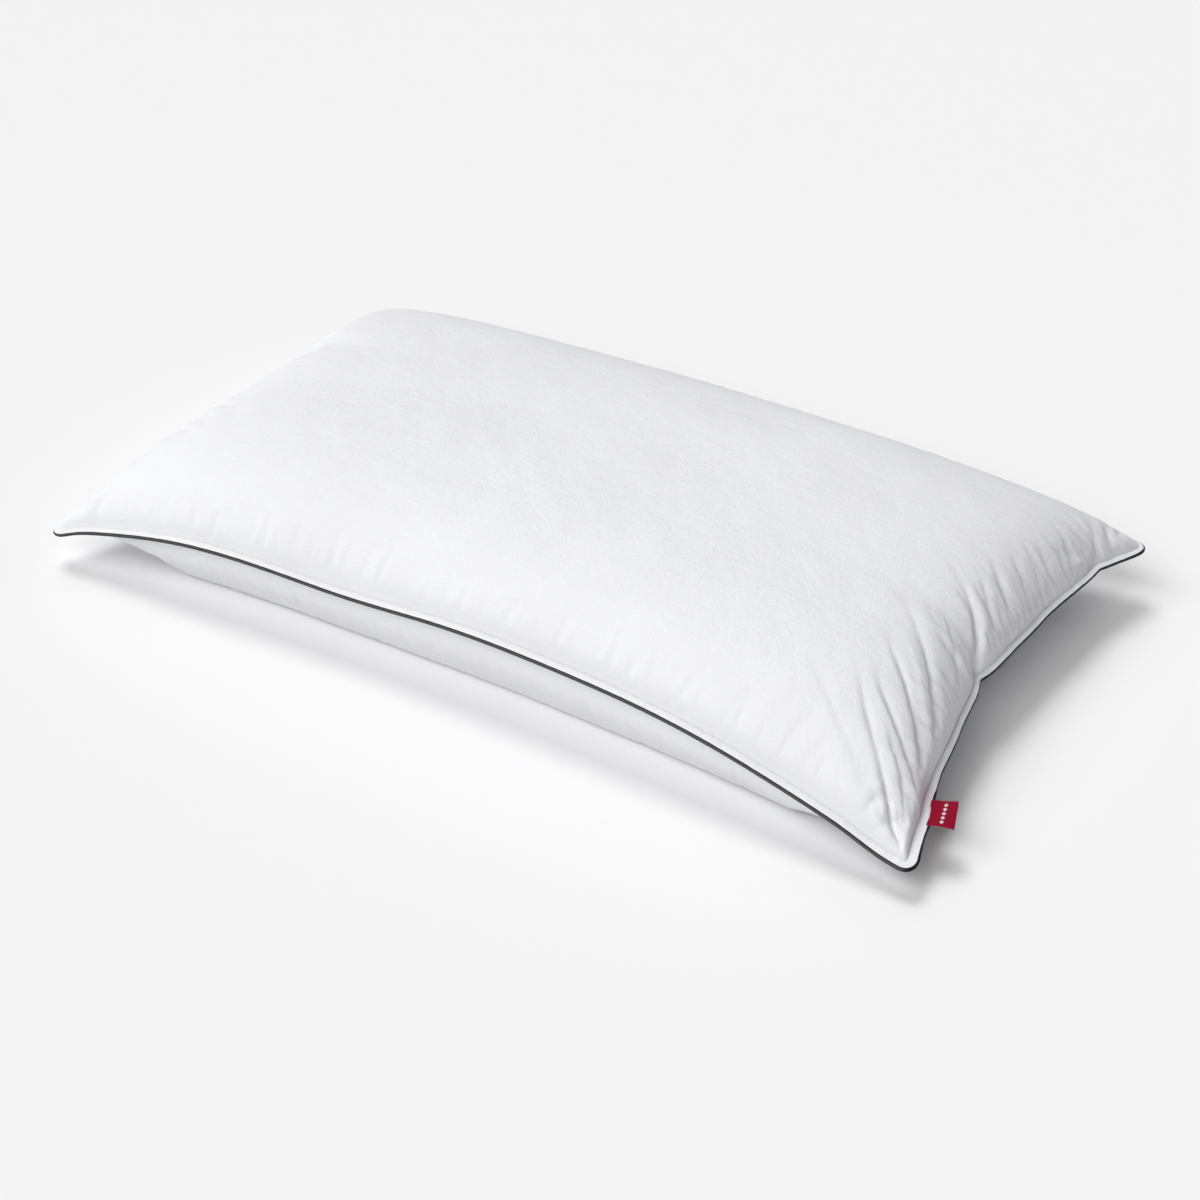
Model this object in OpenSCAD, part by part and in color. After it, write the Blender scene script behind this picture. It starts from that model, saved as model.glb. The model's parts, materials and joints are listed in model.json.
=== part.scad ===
// Rectangular bed pillow with a corded, double-stitched edge.
// Two cotton panels are sewn round a piping, turned out, filled with down
// and stitched again to leave a flat flange. Millimetres, +Z up. The origin
// is the middle of the patch that the pillow rests on, and +X is its length.

/* [Pillow] */
// Length between the seam corners
pillow_length = 900; // [760:1:1000]
// Width between the seam corners
pillow_width = 504; // [440:1:560]
// Height of the crown above the surface that the pillow lies on
crown_height = 140; // [120:1:170]
// Plan radius of the sewn corners
corner_radius = 16; // [14:1:30]
// How much further the front right corner reaches than the other corners
corner_reach = 4; // [0:1:8]

/* [Seam line] */
// How far the filling draws the long sides in at their middle
side_draw = 25; // [10:1:34]
// How far the filling draws the short ends in at their middle
end_draw = 36; // [10:1:40]
// Height of the seam at the middle of the long sides
side_lift = 72; // [55:1:80]
// Height of the seam at the middle of the short ends
end_lift = 58; // [50:1:70]
// Height of the seam at the front left corner
front_left_lift = 31; // [22:1:50]
// Height of the seam at the front right corner
front_right_lift = 23; // [22:1:50]
// Height of the seam at the back right corner
back_right_lift = 49; // [22:1:50]
// Height of the seam at the back left corner
back_left_lift = 42; // [22:1:50]

/* [Edge] */
// Width of the flat flange, from the piping's middle to the topstitching
flange_width = 9.2; // [8.5:0.1:10.5]
// Thickness of the cotton panels
cloth = 0.3; // [0.2:0.05:0.3]
// Outer diameter of the covered piping
piping_diameter = 3.6; // [3.2:0.1:4.4]
// Thickness of the bias tape round the piping cord
tape = 0.22; // [0.15:0.01:0.22]
// Diameter of the sewing thread
thread = 0.24; // [0.16:0.02:0.24]
// Length of the opening that was closed after filling
closing_length = 170; // [100:10:240]

/* [Labels] */
// Width of the brand label, along the seam
brand_width = 26; // [16:1:30]
// Reach of the brand label beyond its fold line
brand_reach = 20; // [14:1:22]
// Angle at which the brand label stands above level
brand_tilt = 10; // [0:1:20]
// Place of the brand label along the short end, from -1 to 1
brand_place = -0.76; // [-0.8:0.01:0.8]
// Width of the care label, along the seam
care_width = 30; // [20:1:36]
// Reach of the care label below its fold line
care_reach = 38; // [24:1:38]
// Place of the care label along the other short end, from -1 to 1
care_place = -0.45; // [-0.6:0.05:0.6]
// Thickness of a folded label
label = 0.4; // [0.3:0.05:0.5]

/* [Hidden] */

half_length = pillow_length / 2;
half_width = pillow_width / 2;
straight_u = 1 - corner_radius / half_length;
straight_v = 1 - corner_radius / half_width;

// The crown's fullness: higher exponents keep it level nearer to the seam
long_fullness = 2.58;
cross_fullness = 2.82;
end_roundness = 0.32;
side_roundness = 0.62;
corner_fade = 20;
// The underside's fullness: it is steeper under the long sides than the crown
// is, and at the ends it falls away inward before it meets the surface
side_steepness = 1.9;
end_steepness = 1.75;
end_fall = 0.95;
// Distance over which the crown rises out of the stitch line at the ends
end_softness = 14;
// How soon the longer corner's reach fades along its two edges
reach_fade = 4;

// Layers of the flange, counted up from the middle of the seam
play = 0.04;
lip_top = play + tape;
allowance_low = lip_top + thread + 3 * play;
allowance_top = allowance_low + cloth;
panel_low = allowance_top + 2 * play;
panel_top = panel_low + cloth;
piping_radius = piping_diameter / 2;
cord_radius = piping_radius - tape - 4 * play;
fold_edge = piping_radius + 0.1;
allowance_width = flange_width + 1.3;
lip_width = flange_width + 0.8;
seam_place = piping_radius + 0.9;
closing_place = seam_place + 2;
stitch_place = flange_width - 0.6;
fill_gap = 0.3;

// Fold line of a label, outward from the piping's middle and away from level
fold_out = piping_radius + 0.8;
fold_rise = piping_radius + label / 2 + 0.2;
fold_gap = 0.45;
care_hang = -80;
motif_count = 5;
motif_size = 2.6;
motif_height = 0.1;

// A label's sewn end: where it begins, and how far in from the piping's outline
// its lower and upper faces start and finish climbing over the piping
tail_begin = flange_width - 1;
tail_foot = 0.5;
tail_top = 0.8;
tail_crest = 0.2;

// Rings of the filled part, as shares of the stitch line's distance from the middle
rings = [1, 0.995, 0.985, 0.965, 0.93, 0.88, 0.8, 0.69, 0.55, 0.38, 0.2];
fill_first = 2;
last_ring = len(rings) - 1;
side_steps = 22;
end_steps = 12;
corner_steps = 4;

// A station is a place on the seam, from -1 to 1 along the length and the width.
// The stations go round from the front side, with an arc of them at each corner.
function side_station(q, s) =
    q == 0 ? [s * straight_u, -1] :
    q == 1 ? [1, s * straight_v] :
    q == 2 ? [-s * straight_u, 1] : [-1, -s * straight_v];
function side_stations(q, steps) = [for (k = [1 : steps - 1]) side_station(q, 2 * k / steps - 1)];
function corner_stations(q) = [
    for (k = [0 : corner_steps])
        let (
            angle = 90 * (q - 1 + k / corner_steps),
            centre = [q < 2 ? straight_u : -straight_u, q == 1 || q == 2 ? straight_v : -straight_v]
        )
            centre + [(1 - straight_u) * cos(angle), (1 - straight_v) * sin(angle)]
];
stations = [
    for (q = [0 : 3])
        each concat(side_stations(q, q % 2 == 0 ? side_steps : end_steps), corner_stations(q))
];
count = len(stations);

function plan(p) = [
    p.x * (half_length - end_draw * (1 - p.y * p.y))
        + corner_reach * pow((1 + p.x) * (1 - p.y) / 4, reach_fade),
    p.y * (half_width - side_draw * (1 - p.x * p.x))
];
function corner_lift(p) = (
    (1 - p.x) * (1 - p.y) * front_left_lift + (1 + p.x) * (1 - p.y) * front_right_lift
    + (1 + p.x) * (1 + p.y) * back_right_lift + (1 - p.x) * (1 + p.y) * back_left_lift
) / 4;
side_rise = side_lift - (front_left_lift + front_right_lift) / 2;
end_rise = end_lift - (front_right_lift + back_right_lift) / 2;
function seam_height(p) =
    corner_lift(p) + side_rise * (1 - p.x * p.x) + end_rise * (1 - p.y * p.y);

edge = [for (s = stations) plan(s)];
heights = [for (s = stations) seam_height(s)];
inward = [
    for (i = [0 : count - 1])
        let (along = edge[(i + 1) % count] - edge[(i + count - 1) % count])
            [-along.y, along.x] / norm(along)
];

// A point of the flange: in from the piping's middle, and up from the seam's middle
function flange(i, in, up) = [
    edge[i].x + in * inward[i].x,
    edge[i].y + in * inward[i].y,
    heights[i] + up
];

// How much of its full height a face has reached at place p: side is 1 for the
// upper face, which reaches the crown, and -1 for the lower one, which reaches
// the surface. It is 1 in the middle and near 0 at the seam.
function along_share(p) = max(0, 1 - pow(abs(p.x), long_fullness));
function across_share(p) = pow(max(0, 1 - pow(abs(p.y), cross_fullness)), side_roundness);
function fullness(p, side) =
    side > 0 ? across_share(p) * pow(along_share(p), end_roundness)
        * (1 - exp(-(1 - abs(p.x)) * half_length / end_softness)) :
    min(1, side_steepness * across_share(p) * min(1, end_steepness * pow(along_share(p), end_fall)));

// The same for ring r at station i, and exactly 0 on the stitch line, round the
// corners as well
function rise(i, r, side) =
    max(0, fullness(r * stations[i], side) - fullness(stations[i], side) * pow(r, corner_fade));
function upper_height(i, r) =
    (seam_height(r * stations[i]) + panel_top) * (1 - rise(i, r, 1)) + crown_height * rise(i, r, 1);
function lower_height(i, r) =
    (seam_height(r * stations[i]) - panel_top) * (1 - rise(i, r, -1));
function skin(i, k, side) =
    let (
        j = (i + count) % count,
        r = rings[k],
        foot = flange(j, flange_width, 0)
    )
        [r * foot.x, r * foot.y, side > 0 ? upper_height(j, r) : lower_height(j, r)];
function middle(side, depth) = [0, 0, side > 0 ? crown_height - depth : depth];

// The skin's outward direction, and a point at some depth under it
function outward(i, k, side) =
    k == 0 ? [0, 0, side] :
    let (
        next = k < last_ring ? skin(i, k + 1, side) : middle(side, 0),
        across = next - skin(i, k - 1, side),
        along = skin(i + 1, k, side) - skin(i - 1, k, side),
        up = cross(along, across)
    )
        side * up / norm(up);
function under(i, k, side, depth) = skin(i, k, side) - depth * outward(i, k, side);

// A solid lofted round the pillow: every station has one section of points,
// and the first and the last point of the sections close on two middle points.
// A section goes out along one face and comes back along the other, and its
// diagonals are swapped at that turn, so that both faces keep the same creases.
function band(i, j, size, turn) =
    let (
        a = i * size + j,
        b = (i + 1) % count * size + j
    )
        j < turn ? [[a, b, b + 1], [a, b + 1, a + 1]] : [[a, b, a + 1], [b, b + 1, a + 1]];
function turned(faces, side) =
    side > 0 ? faces : [for (f = faces) [f[2], f[1], f[0]]];
module lofted(sections, turn, first_middle, last_middle, side) {
    size = len(sections[0]);
    total = count * size;
    faces = [
        for (i = [0 : count - 1])
            each concat(
                [[total, (i + 1) % count * size, i * size]],
                [for (j = [0 : size - 2]) each band(i, j, size, turn)],
                [[total + 1, i * size + size - 1, (i + 1) % count * size + size - 1]]
            )
    ];
    polyhedron(
        points = concat([for (s = sections) each s], [first_middle, last_middle]),
        faces = turned(faces, side)
    );
}

// A closed loop that follows the whole seam with one section of [in, up] points
module loop(section) {
    size = len(section);
    polyhedron(
        points = [for (i = [0 : count - 1]) for (p = section) flange(i, p.x, p.y)],
        faces = [
            for (i = [0 : count - 1])
                for (j = [0 : size - 1])
                    let (
                        a = i * size,
                        b = (i + 1) % count * size,
                        next = (j + 1) % size
                    )
                        each [[a + j, b + j, b + next], [a + j, b + next, a + next]]
        ]
    );
}

// The same section along the stations from first to last only
module run(section, first, last) {
    size = len(section);
    steps = last - first;
    polyhedron(
        points = [for (i = [first : last]) for (p = section) flange(i, p.x, p.y)],
        faces = concat(
            [
                for (i = [0 : steps - 1])
                    for (j = [0 : size - 1])
                        let (
                            a = i * size,
                            b = a + size,
                            next = (j + 1) % size
                        )
                            each [[a + j, b + j, b + next], [a + j, b + next, a + next]]
            ],
            [[for (j = [0 : size - 1]) j]],
            [[for (j = [0 : size - 1]) (steps + 1) * size - 1 - j]]
        )
    );
}

// Points of a circle in the plane of a section, from angle a0 to angle a1
function ring_points(centre, radius, a0, a1, steps) = [
    for (k = [0 : steps])
        let (angle = a0 + (a1 - a0) * k / steps)
            centre + radius * [cos(angle), sin(angle)]
];
function thread_section(in, up) = ring_points([in, up], thread / 2, 0, 270, 3);

// One cotton panel: its outer face in to the fold along the piping, the
// turned-in seam allowance, and back along its inner face.
module panel(side) {
    lofted(
        [
            for (i = [0 : count - 1])
                concat(
                    [for (k = [last_ring : -1 : 0]) skin(i, k, side)],
                    [
                        flange(i, fold_edge + play, side * panel_top),
                        flange(i, fold_edge, side * (allowance_top + play)),
                        flange(i, fold_edge + play, side * allowance_low),
                        flange(i, allowance_width, side * allowance_low),
                        flange(i, allowance_width, side * allowance_top),
                        flange(i, fold_edge + cloth, side * allowance_top),
                        flange(i, fold_edge + cloth, side * panel_low)
                    ],
                    [for (k = [0 : last_ring]) under(i, k, side, cloth)]
                )
        ],
        last_ring + 1,
        middle(side, 0),
        middle(side, cloth),
        side
    );
}

module top_cover() {
    color("whitesmoke") panel(1);
}

module bottom_cover() {
    color("gainsboro") panel(-1);
}

module down_fill() {
    depth = cloth + fill_gap;
    color("ivory")
        lofted(
            [
                for (i = [0 : count - 1])
                    concat(
                        [for (k = [last_ring : -1 : fill_first]) under(i, k, 1, depth)],
                        [for (k = [fill_first : last_ring]) under(i, k, -1, depth)]
                    )
            ],
            last_ring - fill_first + 1,
            middle(1, depth),
            middle(-1, depth),
            1
        );
}

module piping_cord() {
    color("dimgray") loop(ring_points([0, 0], cord_radius, 0, 315, 7));
}

// Bias tape folded round the cord, with both its edges as a lip in the seam
module piping_tape() {
    opening = asin(lip_top / piping_radius);
    slit = asin(play / (piping_radius - tape));
    color([0.1, 0.1, 0.11])
        loop(
            concat(
                [[lip_width, lip_top]],
                ring_points([0, 0], piping_radius, opening, 360 - opening, 9),
                [[lip_width, -lip_top], [lip_width, -play]],
                ring_points([0, 0], piping_radius - tape, 360 - slit, slit, 9),
                [[lip_width, play]]
            )
        );
}

// The seam that joins the panels and the tape, one run on each side of the lip
module edge_seam_thread() {
    place = lip_top + 2 * play + thread / 2;
    color("silver") {
        loop(thread_section(seam_place, place));
        loop(thread_section(seam_place, -place));
    }
}

module topstitch_upper() {
    color("white") loop(thread_section(stitch_place, panel_top + play + thread / 2));
}

module topstitch_lower() {
    color("white") loop(thread_section(stitch_place, -panel_top - play - thread / 2));
}

// The opening at the left end, sewn shut through the whole flange
module closing_seam_thread() {
    middle_station = count - corner_steps - 1 - end_steps / 2;
    step_length = 2 * (half_width - corner_radius) / end_steps;
    reach = round(closing_length / 2 / step_length);
    up = panel_top + play + thread / 2;
    color("white")
        for (side = [-1, 1])
            run(thread_section(closing_place, side * up), middle_station - reach, middle_station + reach);
}

// Carries its children to the seam at a short end: there +X is outward,
// +Y runs along the seam and Z starts at the middle of the seam.
module at_end(end, place) {
    p = plan([end, place]);
    step = 0.01;
    way = end * (plan([end, place + step]) - plan([end, place - step]));
    climb = seam_height([end, place + step]) - seam_height([end, place - step]);
    translate([p.x, p.y, seam_height([end, place])])
        rotate([0, 0, atan2(way.y, way.x) - 90])
            rotate([end * atan(climb / norm(way)), 0, 0])
                children();
}

module at_fold(end, place, side, tilt) {
    at_end(end, place)
        translate([fold_out, 0, side * fold_rise])
            rotate([0, -tilt, 0])
                children();
}

module flap(width, reach) {
    translate([fold_gap, -width / 2, -label / 2]) cube([reach, width, label]);
}

// The sewn end of a label: out of the seam and over the piping to its fold line
module tail(end, place, side, width) {
    low = lip_top + play;
    over = fold_rise - label / 2;
    at_end(end, place)
        rotate([90, 0, 0])
            linear_extrude(width, center = true)
                polygon([
                    for (p = [
                        [-tail_begin, low],
                        [-piping_radius - tail_foot, low],
                        [-piping_radius + tail_foot, over],
                        [fold_out - fold_gap, over],
                        [fold_out - fold_gap, over + label],
                        [-piping_radius + tail_crest, over + label],
                        [-piping_radius - tail_top, low + label],
                        [-tail_begin, low + label]
                    ])
                        [p.x, side * p.y]
                ]);
}

module brand_label() {
    color("crimson") at_fold(1, brand_place, 1, brand_tilt) flap(brand_width, brand_reach);
}

// A row of plain diamonds, woven proud of the label's upper face
module brand_label_motif() {
    pitch = brand_width / (motif_count + 1);
    color("white")
        at_fold(1, brand_place, 1, brand_tilt)
            for (k = [1 : motif_count])
                translate([fold_gap + brand_reach / 2, k * pitch - brand_width / 2, label / 2])
                    rotate(45)
                        linear_extrude(motif_height) square(motif_size, center = true);
}

module brand_label_tail() {
    color("crimson") tail(1, brand_place, 1, brand_width);
}

module care_label() {
    color("white") at_fold(-1, care_place, -1, care_hang) flap(care_width, care_reach);
}

module care_label_tail() {
    color("white") tail(-1, care_place, -1, care_width);
}

top_cover();
bottom_cover();
down_fill();
piping_cord();
piping_tape();
edge_seam_thread();
topstitch_upper();
topstitch_lower();
closing_seam_thread();
brand_label();
brand_label_motif();
brand_label_tail();
care_label();
care_label_tail();
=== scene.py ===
"""Bed pillow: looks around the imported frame. Metres, +Z up, +X along the length.

Two cotton panels are relaxed as cloth over the filling, seam to seam, on grids of
growing fineness. Everything on the edge follows one seam curve, so the piping, the
flange, the stitches and the labels stay together.
"""
import json
import math

import bpy
import numpy as np
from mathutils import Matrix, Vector


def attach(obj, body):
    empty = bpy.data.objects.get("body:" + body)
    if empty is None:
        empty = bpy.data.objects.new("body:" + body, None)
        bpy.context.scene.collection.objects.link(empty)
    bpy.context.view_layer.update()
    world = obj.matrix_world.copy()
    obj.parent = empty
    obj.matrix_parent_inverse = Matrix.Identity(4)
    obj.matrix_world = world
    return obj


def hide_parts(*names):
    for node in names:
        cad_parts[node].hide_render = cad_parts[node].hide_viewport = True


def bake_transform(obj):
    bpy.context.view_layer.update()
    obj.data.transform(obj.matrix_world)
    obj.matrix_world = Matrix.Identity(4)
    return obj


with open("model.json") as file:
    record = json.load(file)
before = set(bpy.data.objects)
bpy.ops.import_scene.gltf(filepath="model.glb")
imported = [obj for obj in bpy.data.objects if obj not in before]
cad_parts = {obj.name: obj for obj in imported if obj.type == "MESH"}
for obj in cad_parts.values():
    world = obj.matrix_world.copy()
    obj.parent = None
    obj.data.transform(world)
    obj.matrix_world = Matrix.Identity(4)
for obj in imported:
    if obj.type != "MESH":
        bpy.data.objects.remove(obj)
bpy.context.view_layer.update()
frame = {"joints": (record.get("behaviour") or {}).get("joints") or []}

# ---------------------------------------------------------------- sizes, as the CAD has them
HALF_LENGTH = 0.450
HALF_WIDTH = 0.252
CORNER_RADIUS = 0.016
CORNER_REACH = 0.004
SIDE_DRAW = 0.025
END_DRAW = 0.036
SIDE_LIFT = 0.072
END_LIFT = 0.058
CORNER_LIFTS = (0.031, 0.023, 0.049, 0.042)
CROWN = 0.140
END_SOFTNESS = 0.014
FLANGE = 0.0092
PANEL_CUT = (0.900, 0.502)
PIPING_RADIUS = 0.0018
STITCH_RISE = 0.0009

# ---------------------------------------------------------------- base colours
COTTON = (0.808, 0.811, 0.830)
COTTON_SHADE = (0.788, 0.790, 0.816)
PAPER = (0.86, 0.86, 0.865)

scene = bpy.context.scene


def add_object(name, mesh, material, body="pillow"):
    """Links a mesh as an object that has a material and rides on a body."""
    mesh.materials.append(material)
    mesh.shade_smooth()
    thing = bpy.data.objects.new(name, mesh)
    scene.collection.objects.link(thing)
    if body:
        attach(thing, body)
    return thing


def mesh_from(name, points, quads, flat=None):
    """A mesh from point and quad arrays; flat gives each point's place in the cut cloth."""
    mesh = bpy.data.meshes.new(name)
    points = np.asarray(points, np.float32).reshape(-1, 3)
    quads = np.asarray(quads, np.int32)
    sides = quads.shape[1]
    mesh.vertices.add(len(points))
    mesh.vertices.foreach_set("co", points.ravel())
    mesh.loops.add(quads.size)
    mesh.loops.foreach_set("vertex_index", quads.ravel())
    mesh.polygons.add(len(quads))
    mesh.polygons.foreach_set("loop_start", np.arange(0, quads.size, sides, dtype=np.int32))
    if flat is not None:
        layer = mesh.uv_layers.new(name="cloth")
        flat = np.asarray(flat, np.float32).reshape(-1, 2)
        layer.data.foreach_set("uv", flat[quads.ravel()].ravel())
    mesh.update(calc_edges=True)
    mesh.validate()
    return mesh


# ---------------------------------------------------------------- camera, light and floor
# The camera's place, what it looks at, its lens and sensor in mm, and how far it sees
CAMERA_PLACE = Vector((0.915, -1.429, 1.118))
CAMERA_TARGET = Vector((0.029, -0.032, 0))
LENS = 64.2
SENSOR = 36
SIGHT = 30


def add_camera():
    data = bpy.data.cameras.new("camera")
    data.lens = LENS
    data.sensor_width = SENSOR
    data.clip_end = SIGHT
    thing = bpy.data.objects.new("camera", data)
    scene.collection.objects.link(thing)
    thing.location = CAMERA_PLACE
    thing.rotation_euler = (CAMERA_TARGET - CAMERA_PLACE).to_track_quat("-Z", "Y").to_euler()
    scene.camera = thing


# Lamps: name, direction they stand in, soft angle in degrees, strength
LAMPS = [
    ("soft_front_left", (-0.7, -0.7, 1), 30, 0.25),
    ("soft_front", (0, -1, 1), 45, 0.54),
    ("soft_back_left", (-0.7, 0.7, 1), 34, 0.15),
    ("soft_over_left", (-0.45, 0.28, 1), 24, 0.405),
]
# Strength of the sky overhead and at the horizon, and how high the horizon's glow reaches
DOME = 0.02
HORIZON = 0.88
HORIZON_TALL = 0.09


def add_lights():
    """A faint dome with a pale horizon, and wide soft lamps."""
    scene.view_settings.view_transform = "Standard"
    world = bpy.data.worlds.new("studio")
    world.use_nodes = True
    nodes, links = world.node_tree.nodes, world.node_tree.links
    back = nodes["Background"]
    back.inputs["Color"].default_value = (1, 1, 1, 1)
    way = nodes.new("ShaderNodeTexCoord")
    split = nodes.new("ShaderNodeSeparateXYZ")
    links.new(way.outputs["Generated"], split.inputs[0])

    def step(operation, first, second):
        node = nodes.new("ShaderNodeMath")
        node.operation = operation
        node.inputs[1].default_value = second
        links.new(first, node.inputs[0])
        return node.outputs[0]

    height = step("MAXIMUM", split.outputs["Z"], 0.0)
    fall = step("POWER", step("DIVIDE", height, HORIZON_TALL), 4.0)
    fading = step("POWER", step("ADD", fall, 1.0), -1.0)
    both = nodes.new("ShaderNodeMath")
    both.operation = "ADD"
    links.new(step("MULTIPLY", fading, HORIZON), both.inputs[0])
    links.new(step("MULTIPLY", height, DOME), both.inputs[1])
    links.new(both.outputs[0], back.inputs["Strength"])
    scene.world = world
    for name, direction, angle, strength in LAMPS:
        sun = bpy.data.lights.new(name, "SUN")
        sun.energy = strength * math.pi
        sun.angle = math.radians(angle)
        lamp = bpy.data.objects.new(name, sun)
        lamp.rotation_euler = Vector(direction).to_track_quat("Z", "Y").to_euler()
        scene.collection.objects.link(lamp)


class Nodes:
    """Short ways to build a material's node tree round its Principled shader."""

    def __init__(self, name, colour, roughness, **sockets):
        self.material = bpy.data.materials.new(name)
        self.material.use_nodes = True
        self.tree = self.material.node_tree
        self.shader = self.tree.nodes["Principled BSDF"]
        self.shader.inputs["Base Color"].default_value = (*colour, 1)
        self.shader.inputs["Roughness"].default_value = roughness
        for socket, value in sockets.items():
            self.shader.inputs[socket.replace("_", " ")].default_value = value
        self.normal = None

    def add(self, kind, **settings):
        """A node of that kind; settings name its properties, its inputs and their links."""
        node = self.tree.nodes.new("ShaderNode" + kind)
        inputs = []
        for key, value in settings.items():
            if hasattr(node, key):
                setattr(node, key, value)
            else:
                inputs.append((key.replace("_", " "), value))
        for key, value in inputs:
            socket = node.inputs[int(key[1:]) if key[1:].isdigit() else key]
            if hasattr(value, "is_output"):
                self.tree.links.new(value, socket)
            else:
                socket.default_value = value
        return node

    def cloth_place(self):
        """The place in the flat, cut cloth, in metres."""
        return self.add("UVMap", uv_map="cloth").outputs["UV"]

    def place(self):
        return self.add("TexCoord").outputs["Object"]

    def scaled(self, vector, scale, turn=0.0):
        mapping = self.add("Mapping", Vector=vector, Scale=scale, Rotation=(0, 0, turn))
        return mapping.outputs["Vector"]

    def noise(self, vector, scale, detail=3.0, rough=0.55):
        node = self.add("TexNoise", Vector=vector, Scale=scale, Detail=detail, Roughness=rough)
        return node.outputs[0]

    def wave(self, vector, pitch, direction, distortion=0.0):
        """Ridges of that pitch in metres, across X or Y of the vector."""
        node = self.add("TexWave", bands_direction=direction, Vector=vector, Scale=math.pi / 10 / pitch,
                        Distortion=distortion, Detail=1.0)
        return node.outputs["Fac"]

    def math(self, operation, first, second=0.0):
        return self.add("Math", operation=operation, i0=first, i1=second).outputs[0]

    def ramp(self, value, low, high, to_low=0.0, to_high=1.0):
        node = self.add("MapRange", Value=value, From_Min=low, From_Max=high, To_Min=to_low, To_Max=to_high)
        return node.outputs[0]

    def mixed(self, share, first, second):
        """A colour between two; each is a plain colour or an output."""
        node = self.add("Mix", data_type="RGBA")
        for socket, value in ((node.inputs[0], share), (node.inputs[6], first), (node.inputs[7], second)):
            if hasattr(value, "is_output"):
                self.tree.links.new(value, socket)
            else:
                socket.default_value = (*value, 1) if isinstance(value, tuple) else value
        return node.outputs[2]

    def bump(self, height, strength, distance):
        """Adds a layer of fine relief on top of the earlier ones."""
        node = self.add("Bump", Strength=strength, Distance=distance, Height=height)
        if self.normal is not None:
            self.tree.links.new(self.normal, node.inputs["Normal"])
        self.normal = node.outputs["Normal"]
        self.tree.links.new(self.normal, self.shader.inputs["Normal"])

    def colour(self, output):
        self.tree.links.new(output, self.shader.inputs["Base Color"])


# The faint pink tint on the cotton round a point beside the red label: its place, how far it is whole and
# how far it reaches
PINK_PLACE = (0.4305, -0.1790, 0.046)
PINK_WHOLE = 0.004
PINK_REACH = 0.021
WEAVE_PITCH = 0.00032
# Specks: how many there are to a metre of the grid that holds one each, and the share without one
SPECK_GRID = 17.0
SPECK_RARE = 0.62


def cotton_material():
    """Fine percale: plain weave, uneven threads, soft crinkles and a few fibre specks."""
    make = Nodes("white_cotton", COTTON, 0.82, Sheen_Weight=0.12, Sheen_Roughness=0.4)
    flat = make.cloth_place()
    place = make.place()
    warp = make.noise(make.scaled(flat, (2400, 70, 1)), 1.0, 2.0)
    weft = make.noise(make.scaled(flat, (70, 2400, 1)), 1.0, 2.0)
    threads = make.math("ADD", warp, weft)
    weave = make.math("MULTIPLY", make.wave(flat, WEAVE_PITCH, "X"), make.wave(flat, WEAVE_PITCH, "Y"))
    cloud = make.noise(place, 9.0, 3.0)
    tone = make.mixed(make.ramp(cloud, 0.36, 0.64), COTTON, COTTON_SHADE)
    tone = make.mixed(make.ramp(threads, 0.8, 1.25, 0.0, 0.10), tone, (0.70, 0.70, 0.72))
    away = make.add("VectorMath", operation="DISTANCE", i0=place, i1=PINK_PLACE).outputs["Value"]
    tone = make.mixed(make.ramp(away, PINK_WHOLE, PINK_REACH, 0.55, 0.0), tone, (0.72, 0.56, 0.66))
    cell = make.add("TexVoronoi", Vector=place, Scale=SPECK_GRID)
    chance = make.add("SeparateColor", i0=cell.outputs["Color"]).outputs[0]
    rare = make.ramp(chance, SPECK_RARE, SPECK_RARE + 0.01)
    speck = make.math("MULTIPLY", rare, make.ramp(cell.outputs["Distance"], 0.008, 0.014, 0.6, 0.0))
    make.colour(make.mixed(speck, tone, (0.30, 0.28, 0.27)))
    creased = make.noise(make.scaled(flat, (55, 75, 1)), 1.0, 5.0, 0.62)
    make.bump(creased, 0.5, 0.0022)
    fine = make.noise(make.scaled(flat, (300, 330, 1)), 1.0, 4.0, 0.7)
    make.bump(fine, 0.5, 0.0010)
    make.bump(make.math("ADD", weave, threads), 0.30, 0.00006)
    return make.material


# The way the piping's painted highlight faces: a paler line is painted where the tape's normal points this
# way
PAINTED_HIGHLIGHT_WAY = (0, -0.88, 0.47)


def piping_material():
    """Black satin bias tape: a diagonal weave with a soft sheen along its round, and a painted highlight, a
    paler line where the tape faces the front and up.
    """
    make = Nodes("black_piping", (0.006, 0.006, 0.007), 0.34, Specular_IOR_Level=0.22)
    flat = make.cloth_place()
    rib = make.wave(make.scaled(flat, (1, 1, 1), math.radians(45)), 0.00042, "X", 0.6)
    tone = make.mixed(rib, (0.004, 0.004, 0.005), (0.010, 0.010, 0.011))
    normal = make.add("NewGeometry").outputs["Normal"]
    highlight_facing = make.add("VectorMath", operation="DOT_PRODUCT", i0=normal, i1=PAINTED_HIGHLIGHT_WAY).outputs["Value"]
    # Painted highlight: the tape is mixed towards pale grey where its normal faces the front lamp, where
    # its gloss would shine
    make.colour(make.mixed(make.ramp(highlight_facing, 0.90, 0.97, 0.0, 0.8), tone, (0.10, 0.10, 0.105)))
    make.bump(make.noise(make.scaled(flat, (260, 90, 1)), 1.0, 3.0), 0.35, 0.0002)
    make.bump(rib, 0.4, 0.00008)
    return make.material


def strand_material(name, colour, shade, roughness, pitch):
    """Spun yarn: plies that wind round, with uneven fibres."""
    make = Nodes(name, colour, roughness, Sheen_Weight=0.2)
    place = make.place()
    ply = make.wave(make.scaled(place, (1, 1, 1), math.radians(30)), pitch, "X", 1.5)
    fibre = make.noise(place, 1500.0, 3.0)
    make.colour(make.mixed(make.math("MULTIPLY", ply, fibre), shade, colour))
    make.bump(ply, 0.5, 0.00006)
    return make.material


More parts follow.
